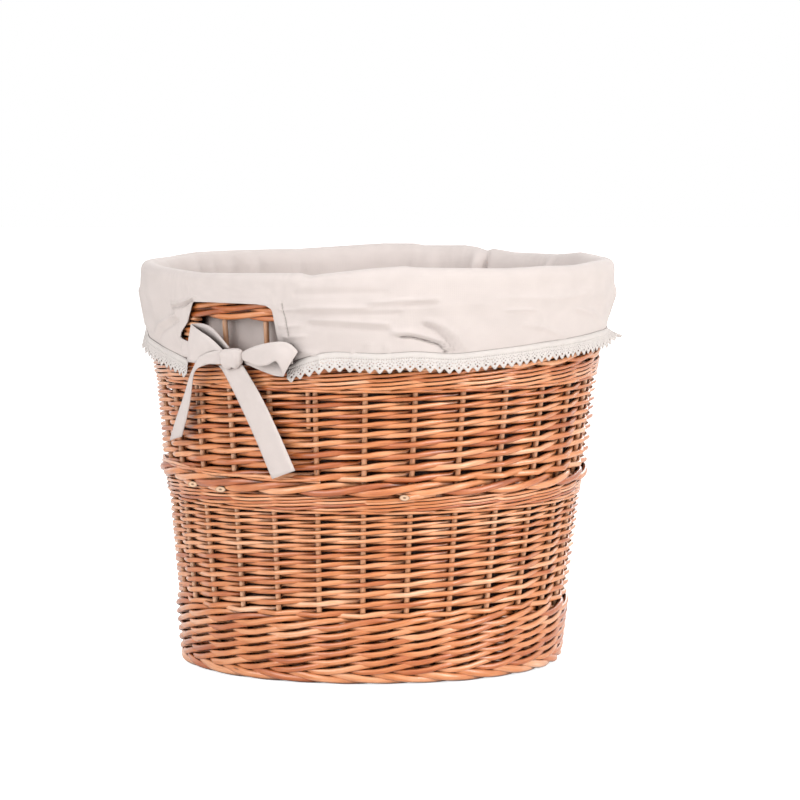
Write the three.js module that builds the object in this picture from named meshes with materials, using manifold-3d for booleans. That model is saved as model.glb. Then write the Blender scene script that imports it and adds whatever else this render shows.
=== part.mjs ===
// A round lined wicker basket: a willow basket on a rolled foot, and a cotton
// liner that turns down over its rim and is tied with a bow at each hand hole.
// Millimetres, +Z up, the front is -Y, and the floor is at z = 0.

import * as THREE from 'three';
import { mergeVertices } from 'three/addons/utils/BufferGeometryUtils.js';
import Module from 'manifold-3d';

const wasm = await Module();
wasm.setup();

// heights of the bands, from the floor up
const footHeight = 13;
const upsettHeight = 51.5;
const lowerWeaveHeight = 107.5;
const midWaleHeight = 26.5;
const upperWeaveHeight = 156.5;
const topWaleHeight = 24;
const borderHeight = 21;

// the wall, measured at the middle of its stakes
const wallRadiusAtFloor = 181.4;
const wallFlare = 0.117;
const leanOffset = 7;

// willow
const stakeCount = 28;
const stakeDiameter = 6;
const firstStakeAngle = -2.5;
const weaverDiameter = 4;
const postSpacing = 7.4;
const stakeLegLength = 44;
const stakeBendRadius = 8;
const postDepthBelowHole = 70;

// how far each band stands out past the plain weave
const footProud = 1.5;
const upsettProud = 4.5;
const midWaleProud = 4.4;
const thickRowHeight = 12.5;
const topWaleProud = 1;
const borderProud = 1.2;

// the rows of the weave, which draw together upwards as its rods grow thinner
const lowerWeaveRows = 13;
const upperWeaveRows = 18;
const firstRowShare = 1.34;
const rowRelief = 3.2;

// base
const thickStickDiameter = 10;
const thinStickDiameter = 6;
const stickPitch = 10.6;
const slathHalfLength = 30;
const stickEndInset = 8;
const baseWeaveCover = 1.7;

// hand holes, two, half a turn apart
const holeHeight = 35;
const holeCentreAngle = firstStakeAngle - 2.5 * 360 / stakeCount;
const holeStakeSpaces = 3;
const postCoverAngle = 2.9;

// cotton liner
const clothThickness = 2;
const linerGap = 1;
const crestRise = 6;
const lipDrop = 7;
const shoulderDrop = 29;
const shoulderStandoff = 5.2;
const hemStandoff = 2.6;
const hemDrop = 76;
const cuffNotchCentreAngle = -37.8;
const cuffNotchWidth = 129;
const cuffNotchRise = 46;
const hemSideRise = 14;
const hemSideAngle = 128;
const hemSideWidth = 28;
const hemCornerDip = 13;
const hemCornerWidth = 6;
const laceHeight = 16;
const laceThickness = 1.2;

// ties
const bowCentreAngle = -35.3;
const ribbonWidth = 26;
const ribbonThickness = 2;
const ribbonSlant = 7;
const knotWidth = 22;
const knotHeight = 21;
const knotDepth = 14;
const bowStandoff = 5;
const bowDrop = 7;
const loopReach = 58;
const loopTopX = 50;
const leftLoopTopZ = 36;
const rightLoopDrop = 17;
const loopDepth = 10;
const tailFoldX = 44;
const leftTailEndX = 86;
const leftTailFall = 83;
const rightTailStartX = 12;
const rightTailEndX = 33;
const rightTailFall = 118;

// fits
const gap = 0.3;
const boreClearance = 0.35;
const rodSides = 6;

const colours = {
  stake: 0xb87440,
  weave: 0xc98a5a,
  border: 0xc07c48,
  stick: 0xb07040,
  cotton: 0xe8ddd8,
  lace: 0xf6f1ec,
  ribbon: 0xeae1dc
};

// derived levels
const upsettZ = footHeight;
const lowerWeaveZ = upsettZ + upsettHeight;
const midWaleZ = lowerWeaveZ + lowerWeaveHeight;
const upperWeaveZ = midWaleZ + midWaleHeight;
const topWaleZ = upperWeaveZ + upperWeaveHeight;
const borderZ = topWaleZ + topWaleHeight;
const borderTopZ = borderZ + borderHeight;
const crestZ = borderTopZ + crestRise;
const shoulderZ = borderTopZ - shoulderDrop;
const lipZ = borderTopZ - lipDrop;
const hemZ = borderTopZ - hemDrop;
const holeBottomZ = topWaleZ - holeHeight;
const baseZ = footHeight + gap + baseWeaveCover + thickStickDiameter / 2;
const baseTopZ = baseZ + thickStickDiameter / 2 + baseWeaveCover;
const linerFloorZ = baseTopZ + linerGap;

const stakeRadius = stakeDiameter / 2;
const halfWall = stakeRadius + weaverDiameter;
const stakeStep = 360 / stakeCount;

function wallRadius(z) {
  return wallRadiusAtFloor + wallFlare * z;
}

function wallOuter(z) {
  return wallRadius(z) + halfWall;
}

function wallInner(z) {
  return wallRadius(z) - halfWall;
}

const baseRadius = wallRadius(baseZ) - stakeRadius - boreClearance;
const cutReach = 2 * wallOuter(crestZ);

const halfTurn = 180;

function radians(degrees) {
  return degrees * Math.PI / halfTurn;
}

// the angle that an arc takes up at a radius
function arcAngle(arc, radius) {
  return arc / radius * halfTurn / Math.PI;
}

// a point on a circle round the basket, with the angle counted from the front to the right
function polar(radius, angle, z) {
  const turn = radians(angle);
  return new THREE.Vector3(radius * Math.sin(turn), -radius * Math.cos(turn), z);
}

// solids

function toSolid(geometry) {
  const plain = geometry.clone();
  plain.deleteAttribute('normal');
  plain.deleteAttribute('uv');
  const merged = mergeVertices(plain, 1e-4);
  return new wasm.Manifold(new wasm.Mesh({
    numProp: 3,
    vertProperties: new Float32Array(merged.attributes.position.array),
    triVerts: new Uint32Array(merged.index.array)
  }));
}

function toGeometry(solid) {
  const mesh = solid.getMesh();
  const geometry = new THREE.BufferGeometry();
  geometry.setAttribute('position', new THREE.BufferAttribute(mesh.vertProperties, 3));
  geometry.setIndex(new THREE.BufferAttribute(mesh.triVerts, 1));
  return geometry;
}

// a ring round the Z axis with a corner at each stake; its profile of [radius, z] runs up the outside
// and down the inside
function ring(profile) {
  const points = profile.map(([radius, z]) => new THREE.Vector2(radius, z));
  points.push(points[0].clone());
  const turned = new THREE.LatheGeometry(points, stakeCount, radians(firstStakeAngle));
  return toSolid(turned.rotateX(Math.PI / 2));
}

// a line through its points that is stepped from point to point, however far apart they are
class RodLine extends THREE.Curve {
  constructor(points) {
    super();
    this.points = points;
  }

  getPoint(t, target = new THREE.Vector3()) {
    const place = Math.min(t, 1) * (this.points.length - 1);
    const index = Math.min(Math.floor(place), this.points.length - 2);
    return target.lerpVectors(this.points[index], this.points[index + 1], place - index);
  }

  getUtoTmapping(u) {
    return u;
  }
}

// a rod of an even thickness along its points
function bentRod(points, radius) {
  const corners = [...Array(rodSides).keys()].map((side) => {
    const turn = 2 * Math.PI * side / rodSides;
    return new THREE.Vector2(radius * Math.cos(turn), radius * Math.sin(turn));
  });
  return toSolid(new THREE.ExtrudeGeometry(new THREE.Shape(corners), {
    steps: points.length - 1,
    extrudePath: new RodLine(points)
  }));
}

// a slice of a pie between two angles, tall enough to cut from one level to another
function sector(fromAngle, toAngle, fromZ, toZ) {
  const steps = Math.ceil((toAngle - fromAngle) / 45);
  const outline = [new THREE.Vector2(0, 0)];
  for (let i = 0; i <= steps; i++) {
    const point = polar(cutReach, fromAngle + (toAngle - fromAngle) * i / steps, 0);
    outline.push(new THREE.Vector2(point.x, point.y));
  }
  const slice = new THREE.ExtrudeGeometry(new THREE.Shape(outline), {
    depth: toZ - fromZ,
    bevelEnabled: false
  });
  return toSolid(slice.translate(0, 0, fromZ));
}

// stakes and posts

function stakeAngle(index) {
  return firstStakeAngle + index * stakeStep;
}

// each stake runs out of the base, turns up and leans out with the wall
function stakePoints(angle) {
  const turnZ = baseZ + stakeBendRadius;
  return [
    polar(wallRadius(baseZ) - stakeLegLength, angle, baseZ),
    polar(wallRadius(baseZ) - stakeBendRadius, angle, baseZ),
    polar(wallRadius(turnZ), angle, turnZ),
    polar(wallRadius(borderZ), angle, borderZ)
  ];
}

function postPoints(angle) {
  const lowZ = holeBottomZ - postDepthBelowHole;
  return [polar(wallRadius(lowZ), angle, lowZ), polar(wallRadius(borderZ), angle, borderZ)];
}

const holeAngles = [holeCentreAngle, holeCentreAngle + halfTurn];
const postShift = arcAngle(postSpacing, wallRadius(topWaleZ));
const holeHalfSpan = holeStakeSpaces * stakeStep / 2;
const postAngles = holeAngles.flatMap((centre) => [
  centre - holeHalfSpan + postShift,
  centre + holeHalfSpan - postShift
]);

const stakeLines = [...Array(stakeCount).keys()].map((index) => stakePoints(stakeAngle(index)));
const postLines = postAngles.map(postPoints);
const uprights = [...stakeLines, ...postLines];
const uprightBores = uprights.map((line) => bentRod(line, stakeRadius + boreClearance));

function boredForUprights(solid) {
  return uprightBores.reduce((left, bore) => left.subtract(bore), solid);
}

// base sticks: four thick ones, pierced by three thin ones, all opened out like a fan

function stickPoints(direction, offset, fan) {
  const along = radians(direction);
  const across = new THREE.Vector3(Math.cos(along), Math.sin(along), 0).multiplyScalar(offset);
  const reach = polar(slathHalfLength, direction, 0);
  const endRadius = baseRadius - stickEndInset;
  const nearEnd = polar(endRadius, direction + fan, baseZ);
  const farEnd = polar(endRadius, direction + halfTurn - fan, baseZ);
  const nearBend = reach.clone().add(across).setZ(baseZ);
  const farBend = reach.clone().negate().add(across).setZ(baseZ);
  return [nearEnd, nearBend, farBend, farEnd];
}

const fanStep = 2 * stakeStep;
const firstStickAngle = firstStakeAngle + stakeStep / 2 + 1.5 * fanStep;
const thickSticks = [-1.5, -0.5, 0.5, 1.5].map((place) =>
  stickPoints(firstStickAngle, place * stickPitch, place * fanStep));
const thinSticks = [-1, 0, 1].map((place) =>
  stickPoints(firstStickAngle + 90, place * stickPitch, place * fanStep));

const thinBores = thinSticks.map((line) => bentRod(line, thinStickDiameter / 2 + boreClearance));
const thickBores = thickSticks.map((line) => bentRod(line, thickStickDiameter / 2 + boreClearance));

function piercedStick(line) {
  const stick = bentRod(line, thickStickDiameter / 2);
  return thinBores.reduce((left, bore) => left.subtract(bore), stick);
}

// the base reaches the bend of the stakes, which the upsett wraps from outside
function baseWeave() {
  const inner = slathHalfLength + stickPitch;
  const disc = ring([
    [baseRadius, footHeight + gap],
    [baseRadius, baseTopZ],
    [inner, baseTopZ],
    [inner, footHeight + gap]
  ]);
  return [...thinBores, ...thickBores, ...uprightBores].reduce((left, bore) => left.subtract(bore), disc);
}

// bands of the wall

// a woven band, with a ridge on the outside for each row
function wovenBand(fromZ, toZ, rows) {
  const low = fromZ + gap;
  const outside = [];
  for (let half = 0; half <= 2 * rows; half++) {
    const share = half / (2 * rows);
    const z = low + (toZ - low) * share * (firstRowShare - (firstRowShare - 1) * share);
    const valley = half % 2 === 0 ? rowRelief : 0;
    outside.push([wallOuter(z) - valley, z]);
  }
  return ring([...outside, [wallInner(toZ), toZ], [wallInner(low), low]]);
}

function upsettWale() {
  const low = upsettZ + gap;
  const middle = (upsettZ + lowerWeaveZ) / 2;
  const step = baseTopZ + gap;
  const behindStakes = wallRadius(step) + stakeRadius + boreClearance;
  return boredForUprights(ring([
    [wallOuter(low) + upsettProud / 2, low],
    [wallOuter(middle) + upsettProud, middle],
    [wallOuter(lowerWeaveZ) + upsettProud, lowerWeaveZ],
    [wallInner(lowerWeaveZ), lowerWeaveZ],
    [wallInner(step), step],
    [behindStakes, step],
    [behindStakes, low]
  ]));
}

function footBorder() {
  const outer = wallOuter(0) + footProud;
  const inner = wallInner(0);
  const round = footHeight / 4;
  return ring([
    [outer - round, 0],
    [outer, round],
    [outer, footHeight - round],
    [outer - round, footHeight],
    [inner + round, footHeight],
    [inner, footHeight - round],
    [inner, round],
    [inner + round, 0]
  ]);
}

function topBorder() {
  const low = borderZ + gap;
  const outer = wallOuter(borderZ) + borderProud;
  const inner = wallInner(borderZ) - borderProud;
  const round = borderHeight / 4;
  return ring([
    [outer - round, low],
    [outer, low + round],
    [outer, borderTopZ - round],
    [outer - round, borderTopZ],
    [inner + round, borderTopZ],
    [inner, borderTopZ - round],
    [inner, low + round],
    [inner + round, low]
  ]);
}

function topWale() {
  const low = topWaleZ + gap;
  const middle = (topWaleZ + borderZ) / 2;
  return boredForUprights(ring([
    [wallOuter(low) + topWaleProud / 2, low],
    [wallOuter(middle) + topWaleProud, middle],
    [wallOuter(borderZ) + topWaleProud / 2, borderZ],
    [wallInner(borderZ), borderZ],
    [wallInner(low), low]
  ]));
}

function lowerWeave() {
  return boredForUprights(wovenBand(lowerWeaveZ, midWaleZ, lowerWeaveRows));
}

// the middle wale's thin rods lie flush with the weave below, and its top row of thick rods stands out
function middleWale() {
  const low = midWaleZ + gap;
  const thickZ = upperWeaveZ - thickRowHeight;
  const round = thickRowHeight / 4;
  return boredForUprights(ring([
    [wallOuter(low), low],
    [wallOuter(thickZ), thickZ],
    [wallOuter(thickZ) + midWaleProud, thickZ + round],
    [wallOuter(upperWeaveZ) + midWaleProud, upperWeaveZ - round],
    [wallOuter(upperWeaveZ), upperWeaveZ],
    [wallInner(upperWeaveZ), upperWeaveZ],
    [wallInner(low), low]
  ]));
}

// the upper weave turns back at the double posts, which leaves the two hand holes open
function upperWeave() {
  const halfOpening = holeHalfSpan - postShift - postCoverAngle;
  const full = boredForUprights(wovenBand(upperWeaveZ, topWaleZ, upperWeaveRows));
  return holeAngles.reduce((left, centre) => left.subtract(
    sector(centre - halfOpening, centre + halfOpening, holeBottomZ, topWaleZ + gap)
  ), full);
}

// cotton liner

function linerInner(z) {
  return wallInner(z) - linerGap - clothThickness;
}

const linerTopRadius = wallInner(borderZ) - borderProud - linerGap;
const lipRadius = wallOuter(shoulderZ) + shoulderStandoff;

function linerWall() {
  return ring([
    [wallInner(linerFloorZ) - linerGap, linerFloorZ],
    [linerTopRadius, borderZ],
    [linerTopRadius - clothThickness, borderZ],
    [linerInner(linerFloorZ), linerFloorZ]
  ]);
}

// the cloth of the wall runs on over the border and turns down to the cuff
function linerTurnover() {
  const low = borderZ + gap;
  const insideCrest = borderTopZ + crestRise - clothThickness;
  const underLip = lipRadius - clothThickness;
  return ring([
    [linerTopRadius, low],
    [linerTopRadius, borderTopZ],
    [linerTopRadius + crestRise / 2, insideCrest],
    [underLip - crestRise, insideCrest],
    [underLip, borderTopZ - clothThickness],
    [underLip, lipZ],
    [lipRadius, lipZ],
    [lipRadius, borderTopZ],
    [lipRadius - crestRise, crestZ],
    [linerTopRadius, crestZ],
    [linerTopRadius - clothThickness, borderTopZ],
    [linerTopRadius - clothThickness, low]
  ]);
}

function linerFloor() {
  const radius = linerInner(linerFloorZ) - gap;
  const disc = new THREE.CylinderGeometry(radius, radius, clothThickness, stakeCount);
  const level = linerFloorZ + clothThickness / 2;
  return toSolid(disc.rotateY(radians(firstStakeAngle)).rotateX(Math.PI / 2).translate(0, 0, level));
}

const notchHalfAngle = arcAngle(cuffNotchWidth / 2, wallOuter(hemZ));
const notchAngles = [cuffNotchCentreAngle, cuffNotchCentreAngle + halfTurn];

// the hem dips towards the notches, and rises where the cloth is pulled up at the basket's sides
function hemRise(angle) {
  const turn = angle - cuffNotchCentreAngle;
  const around = ((turn % halfTurn) + halfTurn) % halfTurn;
  const pastNotch = Math.max(around - notchHalfAngle, 0);
  const toNotch = Math.max(halfTurn - around - notchHalfAngle, 0);
  const dip = Math.exp(-pastNotch / hemCornerWidth) + Math.exp(-toNotch / hemCornerWidth);
  const side = (around - hemSideAngle) / hemSideWidth;
  return hemSideRise * Math.exp(-side * side) - hemCornerDip * dip;
}

// moves the cloth below the top of the notch with its hem, along the flare of the wall
function hemmed(solid) {
  const geometry = toGeometry(solid);
  const position = geometry.attributes.position;
  const top = hemZ + cuffNotchRise;
  for (let i = 0; i < position.count; i++) {
    const [x, y, z] = [position.getX(i), position.getY(i), position.getZ(i)];
    const share = Math.min(Math.max((top - z) / cuffNotchRise, 0), 1);
    const rise = share * hemRise(THREE.MathUtils.radToDeg(Math.atan2(x, -y)));
    const spread = 1 + wallFlare * rise / Math.hypot(x, y);
    position.setXYZ(i, x * spread, y * spread, z + rise);
  }
  return toSolid(geometry);
}

function cuff() {
  const topZ = lipZ - gap;
  const full = ring([
    [wallOuter(hemZ) + hemStandoff, hemZ],
    [lipRadius, shoulderZ],
    [lipRadius, topZ],
    [lipRadius - clothThickness, topZ],
    [lipRadius - clothThickness, shoulderZ],
    [wallOuter(hemZ) + hemStandoff - clothThickness, hemZ]
  ]);
  return hemmed(notchAngles.reduce((left, centre) => left.subtract(
    sector(centre - notchHalfAngle, centre + notchHalfAngle, hemZ - gap, hemZ + cuffNotchRise)
  ), full));
}

function lace(notchAngle) {
  const outer = wallOuter(hemZ) + hemStandoff;
  const full = ring([
    [outer, hemZ - laceHeight],
    [outer, hemZ - gap],
    [outer - laceThickness, hemZ - gap],
    [outer - laceThickness, hemZ - laceHeight]
  ]);
  const from = notchAngle + notchHalfAngle;
  const half = sector(from, from + halfTurn - 2 * notchHalfAngle, hemZ - laceHeight - gap, hemZ);
  return hemmed(full.intersect(half));
}

// ties: the bow is drawn flat, with x along the wall and z up, both from the knot's middle,
// and then wrapped round the basket

const knotZ = hemZ - bowDrop;
const knotEdge = knotWidth / 2 + gap;
const bowRadius = wallOuter(hemZ) + bowStandoff;

function wrapped(solid, centreAngle) {
  const geometry = toGeometry(solid);
  const position = geometry.attributes.position;
  for (let i = 0; i < position.count; i++) {
    const angle = centreAngle + arcAngle(position.getX(i), bowRadius);
    const radius = bowRadius - position.getY(i) + wallFlare * position.getZ(i);
    const point = polar(radius, angle, knotZ + position.getZ(i));
    position.setXYZ(i, point.x, point.y, point.z);
  }
  return toSolid(geometry);
}

// an outline of [x, z] made into a plate that stands out from one depth to another
function plate(outline, fromDepth, toDepth) {
  const points = outline.map(([x, z]) => new THREE.Vector2(x, z));
  const flat = new THREE.ExtrudeGeometry(new THREE.Shape(points), {
    depth: toDepth - fromDepth,
    bevelEnabled: false
  });
  return toSolid(flat.rotateX(Math.PI / 2).translate(0, -fromDepth, 0));
}

function leftTie(angle) {
  const loop = plate([
    [-knotEdge, -knotHeight / 3],
    [-knotEdge, knotHeight / 3],
    [-loopTopX, leftLoopTopZ],
    [-loopReach, -ribbonThickness]
  ], ribbonThickness, loopDepth);
  const tail = plate([
    [-knotEdge, -knotHeight / 3],
    [-knotEdge, knotHeight / 3],
    [-tailFoldX, 0],
    [-leftTailEndX - ribbonWidth, -leftTailFall],
    [-leftTailEndX, -leftTailFall + ribbonSlant],
    [-tailFoldX, -ribbonWidth / 2]
  ], 0, ribbonThickness + gap);
  return wrapped(loop.add(tail), angle);
}

function rightTie(angle) {
  const loop = plate([
    [knotEdge, knotHeight / 3],
    [knotEdge, -knotHeight / 3],
    [loopReach, -rightLoopDrop],
    [loopReach + ribbonWidth / 2, ribbonSlant],
    [loopReach, rightLoopDrop]
  ], ribbonThickness, loopDepth);
  const tail = plate([
    [knotEdge, 0],
    [knotEdge, -knotHeight / 2 - gap],
    [rightTailStartX, -knotHeight / 2 - gap],
    [rightTailEndX, -rightTailFall],
    [rightTailEndX + ribbonWidth, -rightTailFall + ribbonSlant],
    [knotEdge + ribbonWidth / 2, 0]
  ], 0, ribbonThickness + gap);
  return wrapped(loop.add(tail), angle);
}

function knot(angle) {
  const ball = new THREE.SphereGeometry(knotWidth / 2, 12, 8);
  ball.scale(1, knotDepth / knotWidth, knotHeight / knotWidth);
  return wrapped(toSolid(ball.translate(0, -knotDepth / 2, 0)), angle);
}

// the assembly

const basket = new THREE.Group();

function leaned(geometry) {
  const position = geometry.attributes.position;
  for (let i = 0; i < position.count; i++) {
    position.setX(i, position.getX(i) + leanOffset * (position.getZ(i) / crestZ - 1));
  }
  return geometry;
}

function add(name, solid, color, roughness) {
  const material = new THREE.MeshStandardMaterial({ color, roughness, metalness: 0 });
  const mesh = new THREE.Mesh(leaned(toGeometry(solid)), material);
  mesh.name = name;
  basket.add(mesh);
}

function numbered(stem, index) {
  return `${stem}_${String(index + 1).padStart(2, '0')}`;
}

const willowGloss = 0.5;
const clothGloss = 0.9;

thickSticks.forEach((line, i) => {
  add(numbered('thick_base_stick', i), piercedStick(line), colours.stick, willowGloss);
});
thinSticks.forEach((line, i) => {
  add(numbered('thin_base_stick', i), bentRod(line, thinStickDiameter / 2), colours.stick, willowGloss);
});
add('base_weave', baseWeave(), colours.weave, willowGloss);
stakeLines.forEach((line, i) => {
  add(numbered('stake', i), bentRod(line, stakeRadius), colours.stake, willowGloss);
});
postLines.forEach((line, i) => {
  add(numbered('handle_post', i), bentRod(line, stakeRadius), colours.stake, willowGloss);
});

add('foot_border', footBorder(), colours.border, willowGloss);
add('upsett_wale', upsettWale(), colours.weave, willowGloss);
add('lower_weave', lowerWeave(), colours.weave, willowGloss);
add('middle_wale', middleWale(), colours.border, willowGloss);
add('upper_weave', upperWeave(), colours.weave, willowGloss);
add('top_wale', topWale(), colours.border, willowGloss);
add('top_border', topBorder(), colours.border, willowGloss);

add('liner_floor', linerFloor(), colours.cotton, clothGloss);
add('liner_wall', linerWall(), colours.cotton, clothGloss);
add('liner_turnover', linerTurnover(), colours.cotton, clothGloss);
add('liner_cuff', cuff(), colours.cotton, clothGloss);
['front', 'back'].forEach((place, i) => {
  const bowAngle = bowCentreAngle + halfTurn * i;
  add(`lace_trim_${place}`, lace(notchAngles[i]), colours.lace, clothGloss);
  add(`left_tie_${place}`, leftTie(bowAngle), colours.ribbon, clothGloss);
  add(`right_tie_${place}`, rightTie(bowAngle), colours.ribbon, clothGloss);
  add(`bow_knot_${place}`, knot(bowAngle), colours.ribbon, clothGloss);
});

export default basket;
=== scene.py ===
import math

import bpy
import numpy as np
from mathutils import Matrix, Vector, geometry


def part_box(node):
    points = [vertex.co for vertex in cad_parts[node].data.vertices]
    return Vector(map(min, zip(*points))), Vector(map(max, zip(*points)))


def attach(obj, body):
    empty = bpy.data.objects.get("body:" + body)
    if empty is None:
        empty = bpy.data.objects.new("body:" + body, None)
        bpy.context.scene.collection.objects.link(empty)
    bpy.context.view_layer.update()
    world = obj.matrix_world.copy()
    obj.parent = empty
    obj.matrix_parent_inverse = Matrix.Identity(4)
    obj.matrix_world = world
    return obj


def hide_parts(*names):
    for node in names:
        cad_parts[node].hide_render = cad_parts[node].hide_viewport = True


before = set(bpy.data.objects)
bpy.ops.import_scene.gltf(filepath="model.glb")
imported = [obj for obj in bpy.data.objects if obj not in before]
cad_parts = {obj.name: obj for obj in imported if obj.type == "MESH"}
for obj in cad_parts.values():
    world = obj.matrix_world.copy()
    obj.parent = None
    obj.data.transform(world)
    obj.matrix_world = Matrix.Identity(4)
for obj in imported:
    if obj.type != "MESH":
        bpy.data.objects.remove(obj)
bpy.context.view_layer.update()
rng = np.random.default_rng(20)
mm = 0.001


def bandTop(name):
    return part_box(name)[1].z / mm


bandNames = ("foot_border", "upsett_wale", "lower_weave", "middle_wale", "upper_weave", "top_wale")
footTop, upsettTop, lowerTop, middleTop, upperTop, topWaleTop = (bandTop(name) for name in bandNames)

wall = {
    "radiusAtFloor": 181.4,
    "flare": 0.117,
    "lean": 7.0,
    "crest": 406.0,
    "stakes": 28,
    "firstAngle": -2.5,
    "stakeRadius": 2.7,
    "baseZ": 20.0,
    "legLength": 44.0,
    "bendRadius": 8.0,
    "holeCentre": -34.64,
    "holePost": 17.4,
    "holeBottom": 321.0,
}
stakeStep = 360 / wall["stakes"]


def wallRadius(z):
    return wall["radiusAtFloor"] + wall["flare"] * z


def spaceAngle(spaces):
    return wall["firstAngle"] + stakeStep * spaces


def polar(radius, angle, z):
    turn = np.radians(angle)
    z = np.asarray(z, float)
    x = radius * np.sin(turn) + wall["lean"] * (z / wall["crest"] - 1)
    return np.stack(np.broadcast_arrays(x, -radius * np.cos(turn), z), axis=-1)


def unit(vectors):
    return vectors / np.maximum(np.linalg.norm(vectors, axis=-1, keepdims=True), 1e-9)


def wobble(count, along, size, slow=0.25, fast=1.1):
    # the sum of three slow sine waves, different for each rod
    phase = rng.uniform(0, 2 * np.pi, (count, 3, 1))
    rate = rng.uniform(slow, fast, (count, 3, 1))
    return size * np.sin(rate * along[:, None, :] + phase).sum(axis=1) / 1.7


def smoothRows(rows, count):
    # Catmull-Rom through the rows
    rows = np.asarray(rows, float)
    ends = np.concatenate([2 * rows[:1] - rows[1:2], rows, 2 * rows[-1:] - rows[-2:-1]])
    t = np.linspace(0, len(rows) - 1, count)
    i = np.minimum(t.astype(int), len(rows) - 2)
    f = (t - i)[:, None]
    a, b, c, d = (ends[i + k] for k in range(4))
    return 0.5 * (2 * b + (c - a) * f + (2 * a - 5 * b + 4 * c - d) * f**2 + (3 * b - a - 3 * c + d) * f**3)


def smoothStep(low, high, value):
    t = np.clip((value - low) / (high - low), 0, 1)
    return t * t * (3 - 2 * t)


# meshes


def rodArrays(paths, tall, deep, across, tone, sides=8, crossing=None):
    # round or oval rods along paths (rods, steps, 3), with half sizes along and out of the across direction;
    # crossing is 1 where a rod passes outside its stakes and -1 where it passes inside them, and sets the painted
    # shade
    paths = np.asarray(paths, float)
    count, steps, _ = paths.shape
    tall, deep = (np.broadcast_to(size, (count, steps)) for size in (tall, deep))
    along = unit(np.gradient(paths, axis=1))
    out = unit(np.cross(along, np.broadcast_to(across, paths.shape)))
    up = np.cross(out, along)
    turn = np.pi + 2 * np.pi * np.arange(sides) / sides
    points = (
        paths[:, :, None]
        + out[:, :, None] * (deep[..., None] * np.cos(turn))[..., None]
        + up[:, :, None] * (tall[..., None] * np.sin(turn))[..., None]
    )
    first = (np.arange(count)[:, None, None] * steps + np.arange(steps - 1)[None, :, None]) * sides
    k = np.arange(sides)
    near, far = first + k, first + (k + 1) % sides
    quads = np.stack([near, near + sides, far + sides, far], axis=-1).reshape(-1, 4)
    start = (np.arange(count) * steps * sides)[:, None]
    caps = np.concatenate([start + k, start + (steps - 1) * sides + k[::-1]])
    stepLength = np.linalg.norm(np.diff(paths, axis=1), axis=-1) * mm
    u = np.concatenate([np.zeros((count, 1)), np.cumsum(stepLength, axis=1)], axis=1)
    u = u + rng.uniform(0, 9, (count, 1))
    uNear, uFar = (np.repeat(side[:, :, None], sides, axis=2) for side in (u[:, :-1], u[:, 1:]))
    v = np.broadcast_to(k / sides, uNear.shape)
    uv = np.stack([np.stack(pair, axis=-1) for pair in (
        (uNear, v), (uFar, v), (uFar, v + 1 / sides), (uNear, v + 1 / sides))], axis=-2).reshape(-1, 2)
    tones = np.repeat(np.broadcast_to(tone, (count,)), steps * sides)
    facing = np.broadcast_to(np.cos(turn), (count, steps, sides))
    shade = np.ones((count, steps, sides))
    if crossing is not None:
        # painted shade: the shade attribute darkens the sides of a rod that face its neighbours, and its outer side
        # where it passes inside the stakes
        turned = np.broadcast_to(crossing, (count, steps))[..., None] * facing
        shade = 0.5 + 0.5 * smoothStep(0.0, 0.6, np.abs(facing))
        shade = shade * (0.08 + 0.92 * smoothStep(-1.0, -0.62, turned))
    return {"points": points.reshape(-1, 3), "quads": quads, "caps": caps, "uv": uv, "tone": tones,
            "shade": shade.ravel()}


def gridArrays(points, uv, closed=False, flip=False):
    # a grid of faces over points (rows, columns, 3); uv has one more column where the grid is closed
    rows, columns, _ = points.shape
    i, j = np.meshgrid(np.arange(rows - 1), np.arange(columns if closed else columns - 1), indexing="ij")
    after = (j + 1) % columns
    corners = [(i, j, j), (i, after, j + 1), (i + 1, after, j + 1), (i + 1, j, j)]
    if flip:
        corners = corners[::-1]
    quads = np.stack([row * columns + column for row, column, _ in corners], axis=-1).reshape(-1, 4)
    loops = np.stack([uv[row, place] for row, _, place in corners], axis=-2).reshape(-1, 2)
    return {"points": points.reshape(-1, 3), "quads": quads, "uv": loops}


def pairUp(first, second):
    return np.stack(np.broadcast_arrays(first, second), axis=-1)


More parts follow.
